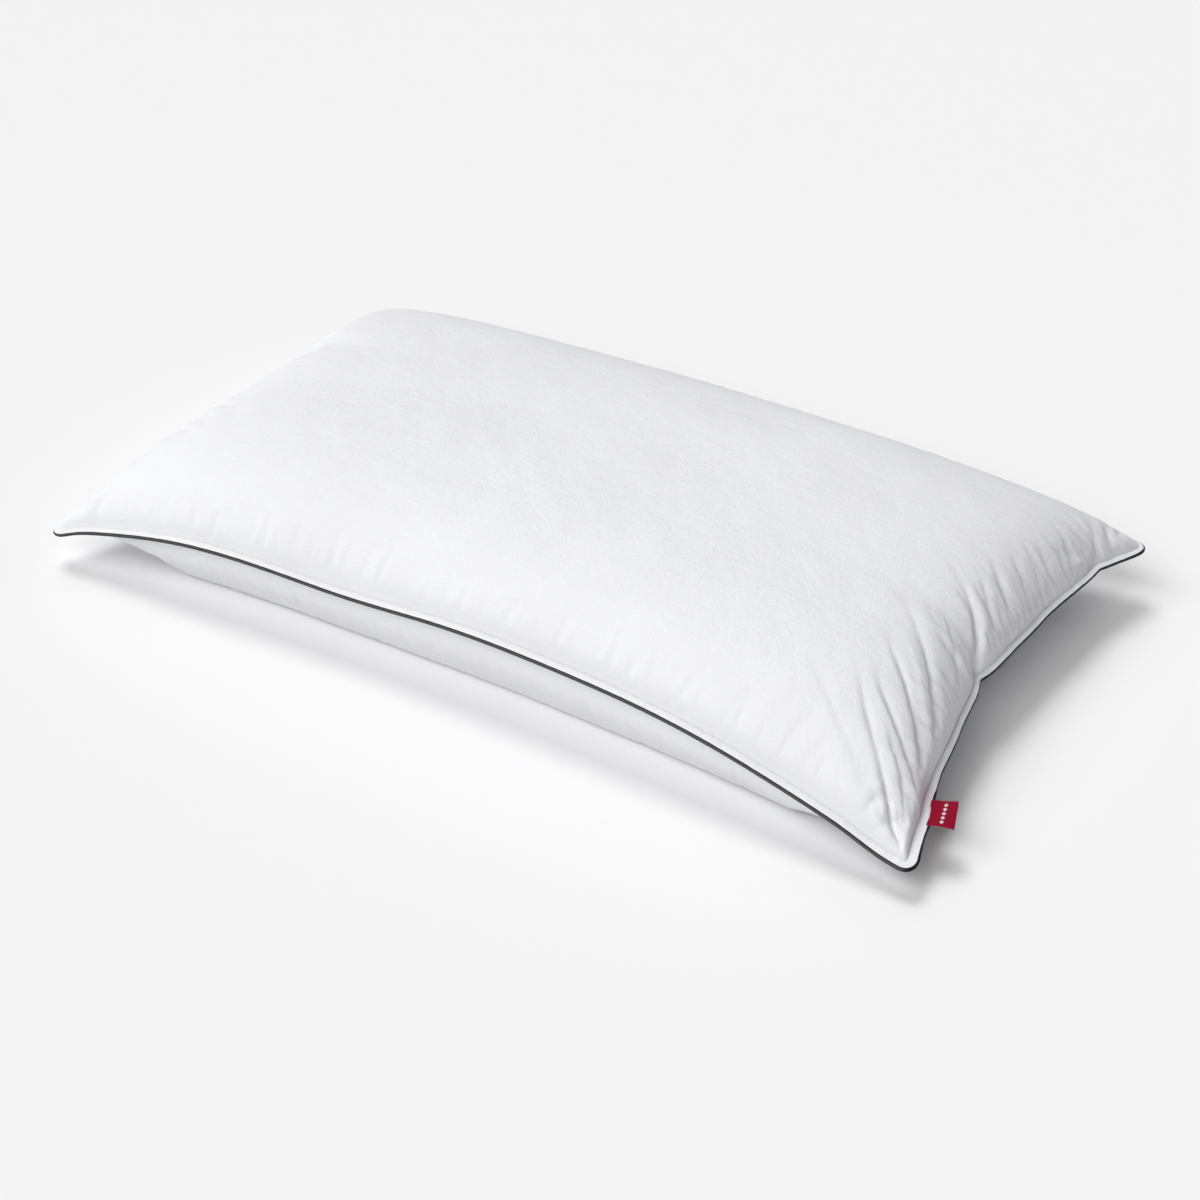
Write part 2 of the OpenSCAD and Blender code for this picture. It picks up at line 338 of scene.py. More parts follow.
def ribbon_material(name, colour, shade, edge, half_width, roughness, pitch):
    """Woven label ribbon: fine ribs across, satin floats and a lighter selvedge."""
    make = Nodes(name, colour, roughness, Specular_IOR_Level=0.14)
    flat = make.cloth_place()
    rib = make.wave(flat, pitch, "Y", 0.3)
    float_line = make.noise(make.scaled(flat, (3200, 500, 1)), 1.0, 2.0)
    tone = make.mixed(make.math("MULTIPLY", rib, float_line), shade, colour)
    across = make.add("SeparateXYZ", i0=flat).outputs[0]
    near = make.ramp(make.math("ABSOLUTE", across), half_width - 0.0008, half_width - 0.0003)
    make.colour(make.mixed(near, tone, edge))
    make.bump(rib, 0.5, 0.00007)
    make.bump(float_line, 0.3, 0.00004)
    return make.material


def down_material():
    make = Nodes("down", (0.80, 0.78, 0.74), 0.95, Sheen_Weight=0.4)
    place = make.place()
    cluster = make.noise(place, 60.0, 5.0, 0.7)
    make.colour(make.mixed(cluster, (0.70, 0.67, 0.62), (0.86, 0.85, 0.82)))
    make.bump(cluster, 0.8, 0.004)
    return make.material


def floor_material():
    return Nodes("paper", PAPER, 0.9, Specular_IOR_Level=0.1).material


FLOOR_HALF = 60


def add_floor():
    corners = [(-1, -1, 0), (1, -1, 0), (1, 1, 0), (-1, 1, 0)]
    mesh = mesh_from("floor", np.array(corners) * FLOOR_HALF, [(0, 1, 2, 3)])
    add_object("floor", mesh, floor_material(), None)


# ---------------------------------------------------------------- the seam line and the filled shape
def plan(u, v):
    """Level place of the seam's surface; the front right corner reaches further out."""
    x = u * (HALF_LENGTH - END_DRAW * (1 - v * v)) + CORNER_REACH * ((1 + u) * (1 - v) / 4) ** 4
    y = v * (HALF_WIDTH - SIDE_DRAW * (1 - u * u))
    return np.stack([x, y], -1)


def seam_height(u, v):
    fl, fr, br, bl = CORNER_LIFTS
    corners = ((1 - u) * (1 - v) * fl + (1 + u) * (1 - v) * fr
               + (1 + u) * (1 + v) * br + (1 - u) * (1 + v) * bl) / 4
    return corners + (SIDE_LIFT - (fl + fr) / 2) * (1 - u * u) + (END_LIFT - (fr + br) / 2) * (1 - v * v)


# How the filling swells a panel: how square its outline is along and across, and how
# steeply it rises from the seam
SQUARE_ALONG = 2.58
SQUARE_ACROSS = 2.82
RISE_ALONG = 0.32
RISE_ACROSS = 0.62
# Below, how soon it reaches the floor along and across, and how steep its end walls are
FLOOR_ALONG = 1.75
FLOOR_ACROSS = 1.9
END_WALLS = 0.95


def fullness(u, v, side):
    """How much of its height the filling gives a face at a place, 0 on the seam."""
    along = np.clip(1 - abs(u) ** SQUARE_ALONG, 0, 1)
    across = np.clip(1 - abs(v) ** SQUARE_ACROSS, 0, 1) ** RISE_ACROSS
    if side > 0:
        soft = 1 - np.exp(-(1 - abs(u)) * HALF_LENGTH / END_SOFTNESS)
        return along ** RISE_ALONG * across * soft
    return np.minimum(1, FLOOR_ACROSS * across * np.minimum(1, FLOOR_ALONG * along ** END_WALLS))


# Places where the sewn edge bends: side, share along it, half width, shift inward,
# lift, and whether the bend is a sharp kink
BENDS = [
    (0, 0.00, 0.0220, -0.0028, -0.003, False),
    (0, 0.00, 0.0100, -0.0018, 0.000, True),
    (0, 0.97, 0.0280, 0.0000, -0.0035, False),
    (1, 0.34, 0.0300, 0.0020, -0.001, False),
    (1, 0.20, 0.0260, 0.0020, 0.000, False),
    (1, 0.10, 0.0120, -0.0016, 0.000, False),
    (0, 0.15, 0.1000, 0.0000, 0.0065, False),
    (0, 0.38, 0.0900, 0.0000, -0.0065, False),
    (0, 0.76, 0.1300, 0.0000, 0.0060, False),
    (1, 0.43, 0.0150, 0.0080, 0.000, True),
    (1, 0.50, 0.0500, -0.0010, 0.002, False),
    (1, 0.60, 0.0300, -0.0020, 0.000, False),
    (1, 0.86, 0.0170, 0.0036, 0.001, True),
    (1, 0.74, 0.0500, -0.0020, 0.001, False),
    (1, 0.97, 0.0200, -0.0030, 0.000, False),
    (2, 0.00, 0.0200, 0.0024, 0.000, False),
    (2, 0.00, 0.0100, -0.0028, 0.000, True),
    (2, 0.35, 0.1000, 0.0025, 0.002, False),
    (3, 0.36, 0.0160, 0.0045, -0.001, True),
    (3, 0.55, 0.0300, 0.0015, 0.000, False),
]
# A sharp bend's tip is rounded over this length
KINK_TIP = 0.0028
# The flange round the edge: side, share along it, how steeply it falls outward in metres
# per metre, and how wide it is there as a share of the full width
FLANGE_FORMS = [
    (0, 0.00, 1.20, 0.40), (0, 0.06, 0.50, 0.62), (0, 0.50, 0.45, 0.72), (0, 0.92, 0.30, 0.82),
    (1, 0.03, 0.22, 0.86), (1, 0.09, 0.24, 0.82), (1, 0.14, 0.28, 0.78), (1, 0.21, 0.50, 0.46),
    (1, 0.50, 0.55, 0.42), (1, 0.90, 0.50, 0.42), (1, 0.96, 0.45, 0.38),
    (2, 0.00, 0.40, 0.36), (2, 0.03, 0.35, 0.42), (2, 0.10, 0.30, 0.72), (2, 0.50, 0.40, 0.75),
    (2, 0.94, 0.40, 0.80),
    (3, 0.06, 0.50, 0.80), (3, 0.60, 0.60, 0.75), (3, 0.86, 0.95, 0.60), (3, 0.97, 1.60, 0.40),
]
# The strip beside the piping that keeps its own width
PIPING_STRIP = 0.0024


ARC_STEPS = 40
SIDE_STEPS = 901


def corner_arc(centre, reach, degrees):
    """An eighth of a circle from that direction on."""
    angle = np.radians(degrees + np.linspace(0, 45, ARC_STEPS))
    return centre + reach * np.c_[np.cos(angle), np.sin(angle)]


def rounded_outline():
    """The seam from -1 to 1 both ways with round corners, and where each side starts in it."""
    straight = 1 - CORNER_RADIUS / np.array([HALF_LENGTH, HALF_WIDTH])
    centres = np.array([(-1, -1), (1, -1), (1, 1), (-1, 1)]) * straight
    lines = []
    for side in range(4):
        start = corner_arc(centres[side], 1 - straight, 225 + 90 * side)
        end = corner_arc(centres[(side + 1) % 4], 1 - straight, 270 + 90 * side)
        share = np.linspace(0, 1, SIDE_STEPS)[1:-1, None]
        lines.append(np.r_[start, start[-1] * (1 - share) + end[0] * share, end[:-1]])
    starts = np.cumsum([0] + [len(line) for line in lines[:-1]])
    return np.concatenate(lines), starts


class Seam:
    """The closed line of the piping's middle, by length from the front left corner."""

    def __init__(self):
        places, self.starts = rounded_outline()
        flat, height = plan(*places.T), seam_height(*places.T)
        run, inward = self.measure(flat)
        for side, share, half, shift, lift, sharp in BENDS:
            away = (run[:-1] - self.run_at(side, share) + run[-1] / 2) % run[-1] - run[-1] / 2
            if sharp:
                bump = np.exp((KINK_TIP - np.sqrt(away ** 2 + KINK_TIP ** 2)) / half)
            else:
                bump = np.exp(-((away / half) ** 2))
            flat = flat + inward * (bump * shift)[:, None]
            height = height + bump * lift
        run, inward = self.measure(flat)
        places = [self.run_at(side, share) for side, share, _, _ in FLANGE_FORMS]
        falls, widths = [np.interp(run[:-1], places, column, period=run[-1])
                         for column in list(zip(*FLANGE_FORMS))[2:]]
        table = np.c_[flat, height, inward, falls, widths]
        self.table = np.r_[table, table[:1]]

    def measure(self, flat):
        """Takes the line's lengths and side breaks from its points, and its inward directions."""
        self.run = np.r_[0, np.cumsum(np.linalg.norm(np.roll(flat, -1, 0) - flat, axis=1))]
        self.length = self.run[-1]
        self.breaks = np.r_[self.run[self.starts], self.length]
        tangent = np.roll(flat, -1, 0) - np.roll(flat, 1, 0)
        tangent /= np.linalg.norm(tangent, axis=1)[:, None]
        return self.run, np.c_[-tangent[:, 1], tangent[:, 0]]

    def run_at(self, side, share):
        """Length along the line at a share of a side."""
        return self.breaks[side] + share * (self.breaks[side + 1] - self.breaks[side])

    def at(self, run):
        """x, y, z, the level direction inward, the fall and the width, at lengths along it."""
        run = np.mod(run, self.length)
        row = np.stack([np.interp(run, self.run, column) for column in self.table.T], -1)
        row[..., 3:5] /= np.linalg.norm(row[..., 3:5], axis=-1)[..., None]
        return row

    def shares(self, count_x, count_y):
        """Lengths along each side where a panel's grid lines meet it."""
        along, across = spread_x(count_x), spread_y(count_y)
        sides = (along, across, 1 - along[::-1], 1 - across[::-1])
        return [self.run_at(side, share[:-1]) for side, share in enumerate(sides)]


def on_edge(row, inward, up):
    """Points at distances inward and up in the flange's own tilted section."""
    inward = np.where(inward > PIPING_STRIP, PIPING_STRIP + (inward - PIPING_STRIP) * row[..., 6], inward)
    along = 1 / np.sqrt(1 + row[..., 5] ** 2)
    rise = row[..., 5] * along
    level = inward * along - up * rise
    point = row[..., :3].copy()
    point[..., :2] += row[..., 3:5] * level[..., None]
    point[..., 2] += inward * rise + up * along
    return point


def spread(count, place, reach, soft, gain):
    """Shares from 0 to 1 in count steps that are closer together near a place."""
    share = np.linspace(0, 1, 2001)
    away = np.maximum(abs(share - place) - reach, 0) / soft
    density = 1 + gain * np.exp(-away ** 2)
    total = np.r_[0, np.cumsum((density[1:] + density[:-1]) / 2)]
    return np.interp(np.linspace(0, total[-1], count + 1), total, share)


def spread_x(count):
    return spread(count, 0.94, 0.07, 0.06, 1.5)


def spread_y(count):
    return spread(count, 0.22, 0.22, 0.12, 0.5)


seam = Seam()


def filled_between(front, right, back, left):
    """A grid of points between four edge lines (a Coons patch)."""
    s = spread_x(len(front) - 1)[:, None, None]
    t = spread_y(len(left) - 1)[None, :, None]
    ruled = (1 - t) * front[:, None] + t * back[:, None] + (1 - s) * left[None] + s * right[None]
    corners = ((1 - s) * (1 - t) * front[0] + s * (1 - t) * front[-1]
               + (1 - s) * t * back[0] + s * t * back[-1])
    return ruled - corners


def edge_lines(count_x, count_y, up):
    """The stitch line round a panel as its four edges, up above the seam's middle."""
    front, right, back, left = [on_edge(seam.at(run), np.full(len(run), FLANGE), np.full(len(run), up))
                                for run in seam.shares(count_x, count_y)]
    return (np.r_[front, right[:1]], np.r_[right, back[:1]],
            np.r_[back, left[:1]][::-1], np.r_[left, front[:1]][::-1])


def panel_places(count_x, count_y):
    """Each grid point's place in the panel, from -1 to 1 along and across."""
    return np.meshgrid(2 * spread_x(count_x) - 1, 2 * spread_y(count_y) - 1, indexing="ij")


def panel_target(count_x, count_y, side):
    """The smooth shape that the filling gives a panel: side is 1 above and -1 below."""
    points = filled_between(*edge_lines(count_x, count_y, side * STITCH_RISE))
    full = fullness(*panel_places(count_x, count_y), side)
    points[..., 2] = points[..., 2] * (1 - full) + (CROWN * full if side > 0 else 0)
    return np.ascontiguousarray(points.transpose(2, 0, 1)).astype(np.float32)


# ---------------------------------------------------------------- cloth
# How much of a diagonal link's error is mended at a step, against 1 along the threads
CROSS_STIFFNESS = 0.3


def alternate(size, odd):
    """Every second point from the first or second on, and the points after them."""
    pairs = (size - odd) // 2
    return slice(odd, odd + 2 * pairs - 1, 2), slice(odd + 1, odd + 2 * pairs, 2)


def link_slices(count_x, count_y):
    """Pairs of slices that link neighbours, in sets that share no point, and their stiffness."""
    n, m = count_x + 1, count_y + 1
    everything, early, late = slice(None), slice(0, m - 1), slice(1, m)
    links = []
    for odd in (0, 1):
        a, b = alternate(n, odd)
        links.append(((a, everything), (b, everything), 1.0))
    for odd in (0, 1):
        a, b = alternate(m, odd)
        links.append(((everything, a), (everything, b), 1.0))
    for odd in (0, 1):
        a, b = alternate(n, odd)
        links.append(((a, early), (b, late), CROSS_STIFFNESS))
        links.append(((a, late), (b, early), CROSS_STIFFNESS))
    return links


def view_of(points, part):
    return points[(slice(None),) + part]


# Folds of the upper panel at the right end: depth and width in mm, then places in mm
FOLDS_TOP = [
    (2.2, 3.2, ((332, -130), (350, -152), (366, -172), (386, -193), (406, -213), (422, -229), (433, -240))),
    (3.0, 3.0, ((338, -88), (358, -109), (382, -130), (406, -155), (422, -177), (433, -194))),
    (3.0, 2.8, ((350, -130), (369, -150), (390, -166), (412, -182), (432, -198))),
    (2.0, 2.4, ((380, -168), (399, -186), (416, -201), (428, -218), (437, -232))),
    (1.8, 2.2, ((392, -200), (408, -214), (422, -228), (434, -239))),
    (1.6, 2.0, ((398, -224), (414, -232), (426, -237), (436, -241))),
    (1.6, 2.0, ((414, -208), (424, -221), (434, -234))),
    (1.4, 1.8, ((422, -202), (431, -214), (438, -226))),
    (1.3, 1.8, ((408, -219), (419, -229), (429, -240))),
    (1.0, 1.8, ((400, -236), (408, -239), (418, -241))),
    (2.6, 2.6, ((374, -82), (391, -104), (408, -127), (421, -150), (431, -172))),
    (1.6, 2.0, ((400, -146), (413, -160), (424, -174), (431, -184))),
    (-1.2, 3.0, ((346, -72), (362, -88), (386, -113), (406, -138), (424, -160))),
    (1.4, 2.4, ((348, -56), (370, -78), (392, -102), (410, -124), (426, -146))),
    (1.5, 2.4, ((360, -24), (380, -44), (398, -64), (412, -88), (423, -108))),
    (1.3, 2.2, ((388, -36), (402, -54), (413, -74), (420, -92))),
    (3.6, 2.6, ((380, -2), (396, -23), (403, -36), (407, -50))),
    (2.8, 2.0, ((360, 16), (376, 0), (390, -12), (400, -24), (407, -38), (410, -50))),
    (-1.2, 2.2, ((384, 8), (396, -8), (404, -22), (409, -38))),
    (1.5, 2.2, ((362, 40), (380, 23), (394, 8), (406, -4), (414, -16))),
    (1.5, 2.6, ((358, 66), (376, 52), (392, 38), (406, 26), (416, 14))),
    (1.2, 2.2, ((386, 30), (400, 18), (414, 6))),
    (1.5, 2.2, ((374, 84), (391, 72), (406, 62), (418, 52))),
    (1.2, 2.2, ((378, 106), (394, 95), (408, 85), (420, 74))),
    (1.1, 2.6, ((380, 124), (398, 113), (412, 103), (423, 92))),
    (1.3, 2.6, ((386, 151), (402, 139), (415, 127), (426, 112))),
    (2.2, 2.4, ((396, 210), (412, 198), (424, 186), (432, 174))),
    (1.8, 2.2, ((396, 153), (408, 161), (420, 168), (431, 175))),
    (1.4, 2.0, ((414, 221), (425, 212), (434, 202))),
    (1.2, 2.0, ((420, 229), (430, 221), (438, 211))),
    (1.0, 3.0, ((300, -150), (330, -176), (362, -200), (394, -222))),
    (0.9, 3.4, ((330, -40), (356, -66), (380, -92))),
    (0.8, 3.0, ((340, 30), (362, 10), (382, -8))),
]
FOLDS_BOTTOM = [
    (3.0, 5.0, ((380, -20), (396, -32), (408, -46))),
    (2.0, 5.0, ((386, -196), (410, -214), (430, -234))),
    (2.0, 5.0, ((390, 190), (412, 206), (430, 226))),
]
# Dents: place, reach along and across in mm, direction in degrees, depth in mm
DENTS_TOP = [
    (417, 153, 15, 9, 60, 3.0),
    (426, -229, 8, 5, 45, 1.2),
]


def random_folds(rng, side, first, last, count, lengths, depths, widths, lean):
    """Folds that start at the stitch line of a side and run inward, curving."""
    folds = []
    for number in range(count):
        share = first + (last - first) * (number + rng.uniform(0.15, 0.85)) / count
        x, y, _, inward_x, inward_y, _, _ = seam.at(seam.run_at(side, share))
        length = rng.uniform(*lengths)
        tilt = rng.uniform(-0.3, 0.3) + lean * (2 * share - 1)
        curve = rng.uniform(-0.25, 0.25)
        line = []
        for t in (1, 0.66, 0.33, 0):
            inward = (FLANGE + 0.001) * 1000 + length * t
            sideways = length * (tilt * t + curve * t * t)
            line.append((x * 1000 + inward_x * inward + inward_y * sideways,
                         y * 1000 + inward_y * inward - inward_x * sideways))
        folds.append((rng.uniform(*depths), rng.uniform(*widths), tuple(line)))
    return folds


# How much deeper the gathers along the sides of the lower panel are
LOWER_GATHERS = 1.5


def seam_folds(seed, side):
    """Small gathers round the whole edge, longer at the ends and near the corners.

    Rows: side, first and last share, count, then lengths, depths and widths in mm, lean."""
    rng = np.random.default_rng(seed)
    more = 1.0 if side > 0 else LOWER_GATHERS
    rows = [
        (0, 0.05, 0.95, 44, (8, 42), (0.15 * more, 0.75 * more), (1.8, 4), 0.3),
        (2, 0.05, 0.95, 40, (10, 40), (0.2 * more, 0.9 * more), (2, 4), 0.3),
        (3, 0.06, 0.94, 26, (18, 64), (0.6, 2.2), (2, 4), 0.8),
        (1, 0.05, 0.95, 50, (10, 48), (0.4, 1.6), (1.5, 2.6), 0.5),
    ]
    if side < 0:
        rows.append((1, 0.08, 0.92, 12, (22, 55), (0.8, 2.2), (3.5, 5.5), 0.8))
    for end in range(4):
        for first, last in ((0.012, 0.06), (0.94, 0.988)):
            rows.append((end, first, last, 3, (14, 44), (0.4, 1.4), (1.8, 3), 0.0))
    return [fold for row in rows for fold in random_folds(rng, *row)]


# A fold fades in over this share of its length
FOLD_FADE = 0.45
# Its width is stretched on its gentle side and shrunk on its steep side
GENTLE_SIDE = 1.7
STEEP_SIDE = 0.75
# How sharp its valley is, and the height, place and half width of the shoulder beside it
VALLEY_POWER = 1.15
SHOULDER = 0.16
SHOULDER_PLACE = 2.2
SHOULDER_HALF = 0.9


def nearest_on(line, place):
    """Distance from each place to a bent line, which side it is on, and the share along it."""
    best = np.full(len(place), 1e9)
    along = np.zeros(len(place))
    gentle = np.zeros(len(place), bool)
    lengths = np.linalg.norm(np.diff(line, axis=0), axis=1)
    starts = np.r_[0, np.cumsum(lengths)]
    for k, length in enumerate(lengths):
        step = line[k + 1] - line[k]
        t = np.clip(((place - line[k]) @ step) / length ** 2, 0, 1)
        offset = place - line[k] - t[:, None] * step
        away = np.linalg.norm(offset, axis=1)
        closer = away < best
        best[closer] = away[closer]
        left = step[0] * offset[:, 1] - step[1] * offset[:, 0] > 0
        gentle[closer] = left[closer]
        along[closer] = (starts[k] + t[closer] * length) / starts[-1]
    return best, gentle, along


def fold_depth(x, y, folds):
    """How far the folds press the surface in at each place, in metres."""
    depth = np.zeros_like(x)
    for deep, wide, line in folds:
        line = np.array(line) / 1000
        wide = wide / 1000
        near = (x > line[:, 0].min() - 4 * wide) & (x < line[:, 0].max() + 4 * wide)
        near &= (y > line[:, 1].min() - 4 * wide) & (y < line[:, 1].max() + 4 * wide)
        if not near.any():
            continue
        best, gentle, along = nearest_on(line, np.c_[x[near], y[near]])
        fade = np.clip(along / FOLD_FADE, 0, 1)
        fade = fade * fade * (3 - 2 * fade)
        away = best / wide / np.where(gentle, GENTLE_SIDE, STEEP_SIDE)
        valley = np.exp(-(away ** VALLEY_POWER))
        shoulder = SHOULDER * np.exp(-(((away - SHOULDER_PLACE) / SHOULDER_HALF) ** 2))
        depth[near] += deep / 1000 * fade * (valley - shoulder)
    return depth


def dent_depth(x, y, dents):
    """How far the soft round dents press the surface in at each place, in metres."""
    depth = np.zeros_like(x)
    for px, py, reach_a, reach_b, angle, deep in dents:
        turn = math.radians(angle)
        dx, dy = x - px / 1000, y - py / 1000
        a = (dx * math.cos(turn) + dy * math.sin(turn)) * 1000 / reach_a
        b = (dy * math.cos(turn) - dx * math.sin(turn)) * 1000 / reach_b
        depth += deep / 1000 * np.exp(-((a * a + b * b) ** 1.5))
    return depth


def smooth_noise(x, y, seed, size):
    """Soft hills of about that size, from a few waves in seeded directions, within -1 and 1."""
    rng = np.random.default_rng(seed)
    total = np.zeros_like(x)
    for _ in range(14):
        angle = rng.uniform(0, 2 * math.pi)
        pitch = size * rng.uniform(0.7, 1.8)
        across = x * math.cos(angle) + y * math.sin(angle)
        total += np.sin(2 * math.pi * across / pitch + rng.uniform(0, 6.28))
    return total / 5


# How far the lowest cloth stays above the floor
FLOOR_GAP = 0.0003


def inside_stitches(x, y):
    """How far in from the stitch line a place is, counted from an end and from a side."""
    from_end = HALF_LENGTH - END_DRAW * (1 - (y / HALF_WIDTH) ** 2) - abs(x) - FLANGE
    from_side = HALF_WIDTH - SIDE_DRAW * (1 - (x / HALF_LENGTH) ** 2) - abs(y) - FLANGE
    return from_end, from_side


def carved(target, side, folds, dents, seed):
    """The smooth shape with its folds, dents and the filling's soft lumps pressed in."""
    x, y = target[0].astype(float), target[1].astype(float)
    away = np.maximum(np.minimum(*inside_stitches(x, y)), 0)
    inside = 1 - np.exp(-away / 0.0018)
    lumps = 0.0008 * smooth_noise(x, y, seed, 0.13) + 0.00025 * smooth_noise(x, y, seed + 1, 0.045)
    lumps *= 1 - np.exp(-away / 0.03)
    depth = (fold_depth(x, y, folds) + dent_depth(x, y, dents)) * inside
    points = target.copy()
    normal = outward(target, side)
    points[:, 1:-1, 1:-1] += normal * (lumps - depth)[1:-1, 1:-1]
    if side < 0:
        np.maximum(points[2], FLOOR_GAP, out=points[2])
    return points.astype(np.float32)


def spare_share(middle, step, length, gather, taut):
    """How much longer or shorter than the shape the cloth is cut, for each link."""
    from_end, from_side = inside_stitches(middle[0], middle[1])
    spare = gather * np.exp(-np.maximum(from_side, 0) / 0.010) * (step[0] / length) ** 2
    spare += gather * 1.5 * np.exp(-np.maximum(from_end, 0) / 0.014) * (step[1] / length) ** 2
    return spare - taut


def rest_lengths(shape, links, gather, taut):
    """The length of each link in the cut cloth."""
    rests = []
    for a, b, _ in links:
        first, second = view_of(shape, a), view_of(shape, b)
        step = second - first
        length = np.sqrt((step * step).sum(0))
        spare = spare_share((first + second) / 2, step, length, gather, taut)
        rests.append((length * (1 + spare)).astype(np.float32))
    return rests


def bend_of(points):
    """How far each inner point is from the middle of its four neighbours."""
    around = points[:, 2:, 1:-1] + points[:, :-2, 1:-1] + points[:, 1:-1, 2:] + points[:, 1:-1, :-2]
    return around / 4 - points[:, 1:-1, 1:-1]


def outward(points, side):
    """The way out of the pillow at each inner point of a face."""
    across = points[:, 2:, 1:-1] - points[:, :-2, 1:-1]
    along = points[:, 1:-1, 2:] - points[:, 1:-1, :-2]
    normal = np.cross(across, along, axis=0)
    return side * normal / np.maximum(np.sqrt((normal * normal).sum(0)), 1e-12)


def blurred(field, radius):
    """The mean over a square round each point, edges kept."""
    for axis in (1, 2):
        pad = [(0, 0), (0, 0), (0, 0)]
        pad[axis] = (radius + 1, radius)
        total = np.cumsum(np.pad(field, pad, mode="edge"), axis=axis, dtype=np.float64)
        size = field.shape[axis]
        width = 2 * radius + 1
        high = np.take(total, np.arange(width, width + size), axis=axis)
        low = np.take(total, np.arange(0, size), axis=axis)
        field = ((high - low) / width).astype(np.float32)
    return field


# Steps between two looks at the way out and at the drift from the shape
LOOK_EVERY = 8


def relax(points, target, links, rests, side, plan_of_work):
    """Lets the cloth settle: pressed out, held near its shape and kept to its cut lengths."""
    steps, press, hold, soft_hold, blur, bend, damp = plan_of_work
    before = points.copy()
    inner = (slice(None), slice(1, -1), slice(1, -1))
    drift = np.zeros_like(points)
    for step in range(steps):
        moved = points - before
        before = points.copy()
        points += damp * moved
        if step % LOOK_EVERY == 0:
            push = outward(points, side) * press
            drift = blurred(target - points, blur)
        curl = np.zeros_like(points)
        curl[inner] = bend_of(points)
        pull = soft_hold * (target[inner] - points[inner])
        points[inner] += push + hold * drift[inner] + pull - bend * bend_of(curl)
        for (a, b, stiff), rest in zip(links, rests):
            first, second = view_of(points, a), view_of(points, b)
            gap = second - first
            length = np.sqrt((gap * gap).sum(0))
            gap *= stiff * 0.5 * (1 - rest / np.maximum(length, 1e-9))
            first += gap
            second -= gap
        if side < 0:
            np.maximum(points[2], FLOOR_GAP, out=points[2])
        points[:, 0], points[:, -1] = target[:, 0], target[:, -1]
        points[:, :, 0], points[:, :, -1] = target[:, :, 0], target[:, :, -1]
    return points


def finer(points):
    """The same grid with a point more between every two."""
    n, m = points.shape[1] - 1, points.shape[2] - 1
    fine = np.empty((3, 2 * n + 1, 2 * m + 1), points.dtype)
    fine[:, ::2, ::2] = points
    fine[:, 1::2, ::2] = (points[:, 1:] + points[:, :-1]) / 2
    fine[:, :, 1::2] = (fine[:, :, :-1:2] + fine[:, :, 2::2]) / 2
    return fine


# Grid, gather at the seams, tautness, then: steps, press, hold of the mean shape,
# hold of each point, blur, bend, damping
LEVELS = [
    (182, 101, 0.004, 0.0010, (220, 3e-6, 0.010, 0.0010, 4, 0.05, 0.92)),
    (364, 202, 0.014, 0.0010, (140, 2e-6, 0.010, 0.0016, 6, 0.008, 0.90)),
]


def relaxed_panel(side, folds, dents, seed):
    """The panel's cloth at rest over the filling, and the filling's smooth shape."""
    rng = np.random.default_rng(seed)
    shift = None
    for count_x, count_y, gather, taut, work in LEVELS:
        smooth = panel_target(count_x, count_y, side)
        shape = carved(smooth, side, folds, dents, seed)
        points = shape.copy() if shift is None else shape + finer(shift)
        rough = rng.standard_normal(points.shape[1:]).astype(np.float32) * 0.00010
        points[2, 1:-1, 1:-1] += rough[1:-1, 1:-1]
        links = link_slices(count_x, count_y)
        points = relax(points, shape, links, rest_lengths(shape, links, gather, taut), side, work)
        shift = points - shape
    return points, smooth


def grid_quads(count_x, count_y):
    index = np.arange((count_x + 1) * (count_y + 1)).reshape(count_x + 1, count_y + 1)
    return np.stack([index[:-1, :-1], index[1:, :-1], index[1:, 1:], index[:-1, 1:]], -1).reshape(-1, 4)


def border_index(count_x, count_y):
    """The grid's border points in the seam's order."""
    index = np.arange((count_x + 1) * (count_y + 1)).reshape(count_x + 1, count_y + 1)
    return np.r_[index[:-1, 0], index[-1, :-1], index[:0:-1, -1], index[0, :0:-1]]


# ---------------------------------------------------------------- the flange
# The upper skin from the stitch line out: distance in from the piping's middle, height
# above the seam, share of the puff between the stitches, all in mm
SKIN_ROWS = [
    (8.75, 0.92, 0.1), (8.2, 1.05, 0.5), (7.4, 1.25, 0.9), (6.3, 1.42, 1.0), (5.2, 1.52, 1.0),
    (4.1, 1.62, 0.8), (3.1, 1.76, 0.4), (2.3, 1.88, 0.2),
]
# Then over the piping as far as the fold, and back: share of the way to the fold, and
# height over the piping in mm
WRAP_ROWS = [(0.25, 0.30), (0.60, 0.30), (0.88, 0.26), (1.0, 0.15), (0.90, 0.05), (0.40, 0.05)]
WRAP_FIRST = math.radians(48)
WRAP_LAST = math.radians(72)
# And back into the seam as the turned-in allowance
ALLOWANCE_ROWS = [(1.95, 0.62), (2.5, 0.44), (5.0, 0.42), (10.4, 0.48)]
STITCH_PLACE = 0.0086
LABEL_SHARES = {"brand_label_fold": (1, 0.12), "care_label_fold": (3, 0.725)}


def waves(run, seed, pitches, closed):
    """A seeded wavy value along the seam that meets itself where it closes, about -1 to 1."""
    rng = np.random.default_rng(seed)
    total = np.zeros_like(run)
    for pitch in pitches:
        turns = round(closed / pitch)
        total += np.sin(2 * math.pi * turns * run / closed + rng.uniform(0, 6.28)) * rng.uniform(0.6, 1)
    return total / len(pitches) ** 0.5


# Half the length of the flange that a label lifts
LABEL_BUMP = 0.0190


def label_bump(run, side):
    """1 where a label is sewn in on that face, fading to 0 beside it."""
    name = "brand_label_fold" if side > 0 else "care_label_fold"
    return np.exp(-((abs(run - seam.run_at(*LABEL_SHARES[name])) / LABEL_BUMP) ** 6))


